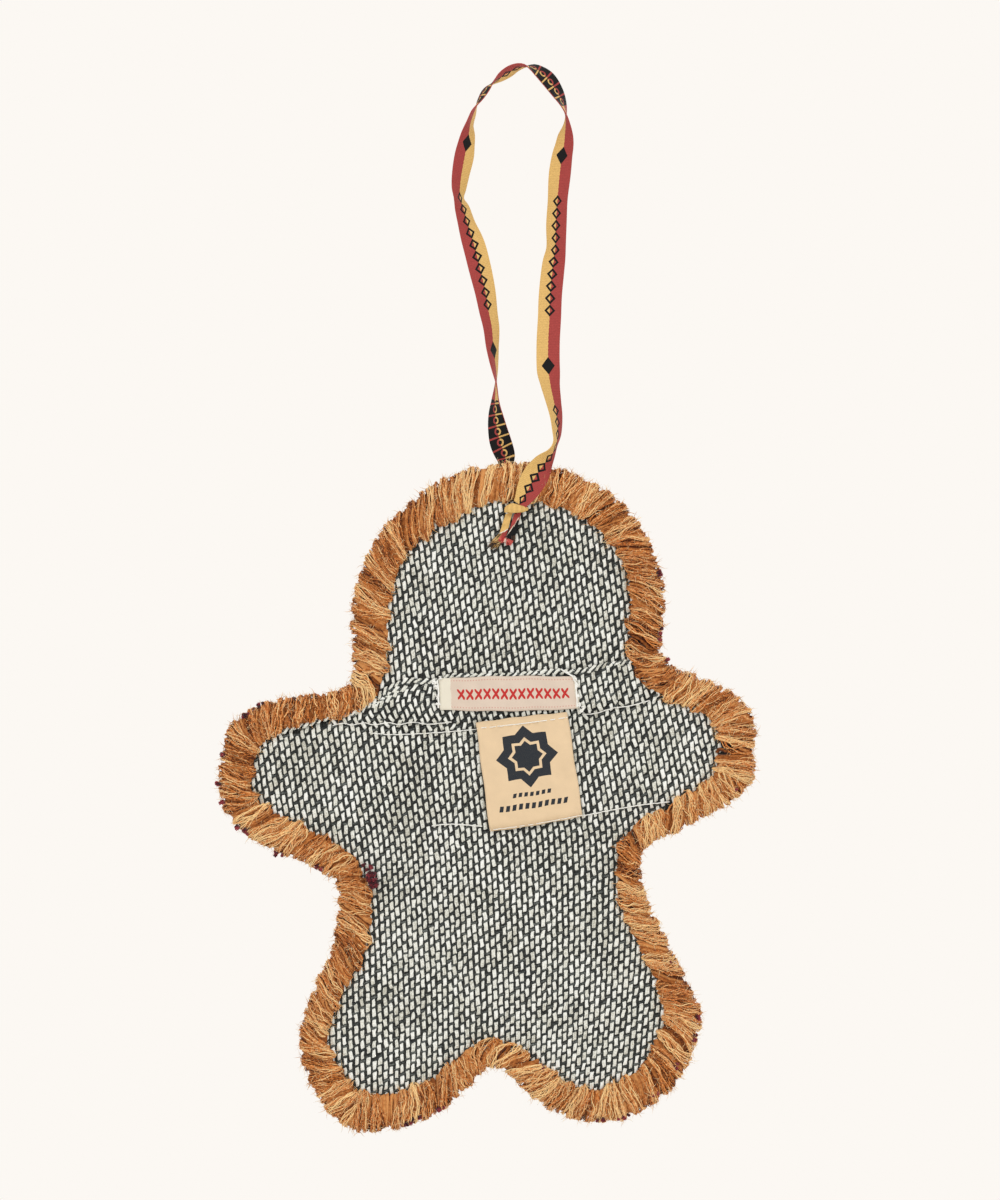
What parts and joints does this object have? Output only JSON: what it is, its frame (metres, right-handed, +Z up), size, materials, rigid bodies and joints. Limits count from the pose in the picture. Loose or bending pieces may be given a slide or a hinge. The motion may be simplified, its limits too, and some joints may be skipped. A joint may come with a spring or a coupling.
{
  "type": "gingerbread ornament",
  "caption": "Flat tufted-wool gingerbread figure with overcast yarn edge, woven cloth back and sewn labels, hung from a knotted woven ribbon loop.",
  "frame": {"origin": "the hook: the inside of the top of the ribbon loop, where the ornament hangs", "axes": "+Z up, -Y towards the viewer of the woven back, +Y out of the cut pile, +X to the right when the back is looked at"},
  "size_m": [0.161, 0.0149, 0.3196],
  "materials": {
    "field": "cut wool pile, caramel",
    "border": "cut wool pile, burgundy",
    "icing": "cut wool pile, cream",
    "eye": "cut wool pile, dark brown",
    "canvas": "primary tufting cloth",
    "latex": "dried latex, matte",
    "cloth": "plain weave of cream and charcoal yarn",
    "binding": "overcast wool yarn",
    "tape": "woven tape",
    "label": "printed cotton tape",
    "thread": "cotton sewing thread",
    "ribbon": "woven ribbon, half ochre and half brick red"
  },
  "bodies": {
    "loop_top": {"ribbon_arch": "ribbon"},
    "upper_strands": {"ribbon_left_upper": "ribbon", "ribbon_right_upper": "ribbon"},
    "lower_strands": {"ribbon_left_lower": "ribbon", "ribbon_right_lower": "ribbon"},
    "ornament": {"tufting_canvas": "canvas", "latex_layer": "latex", "pile_field": "field", "pile_border": "border", "eye_left": "eye", "eye_right": "eye", "smile": "border", "button_top": "border", "button_middle": "border", "button_bottom": "border", "wrist_icing_left": "icing", "wrist_icing_right": "icing", "ankle_icing_left": "icing", "ankle_icing_right": "icing", "back_cloth_head": "cloth", "back_cloth_body": "cloth", "binding_head_right": "binding", "binding_arm_right": "binding", "binding_side_right": "binding", "binding_foot_right": "binding", "binding_foot_left": "binding", "binding_side_left": "binding", "binding_arm_left": "binding", "binding_head_left": "binding", "strip_label": "tape", "square_label": "label", "hem_stitches_left": "thread", "hem_stitches_right": "thread", "lower_stitches_left": "thread", "lower_stitches_right": "thread", "strip_label_stitches_left": "thread", "strip_label_stitches_right": "thread", "square_label_stitches_top": "thread", "square_label_stitches_bottom": "thread", "ribbon_front_run": "ribbon", "ribbon_back_run": "ribbon", "ribbon_knot": "ribbon"},
    "tail_left": {"ribbon_tail_left": "ribbon"},
    "tail_right": {"ribbon_tail_right": "ribbon"}
  },
  "joints": [
    {"name": "side_swing", "type": "hinge", "parent": "loop_top", "child": "upper_strands", "pos_m": [0, 0, 0], "axis": [0, 1, 0], "range_deg": [-40, 40], "deforming": ["ribbon_left_upper", "ribbon_right_upper"]},
    {"name": "ribbon_twist", "type": "hinge", "parent": "upper_strands", "child": "lower_strands", "pos_m": [-0.003, 0, -0.06], "axis": [0, 0, 1], "range_deg": [-90, 90], "stiffness_Nm_per_rad": 0.0008},
    {"name": "ornament_tilt", "type": "hinge", "parent": "lower_strands", "child": "ornament", "pos_m": [0.001, 0, -0.1165], "axis": [1, 0, 0], "range_deg": [-70, 70], "deforming": ["ribbon_left_lower", "ribbon_right_lower"]},
    {"name": "tail_left_lift", "type": "hinge", "parent": "ornament", "child": "tail_left", "pos_m": [-0.00592, -0.005, -0.1348], "axis": [-1, 0, 0], "range_deg": [0, 90]},
    {"name": "tail_right_lift", "type": "hinge", "parent": "ornament", "child": "tail_right", "pos_m": [-0.00302, -0.005, -0.1348], "axis": [-1, 0, 0], "range_deg": [0, 90]}
  ]
}
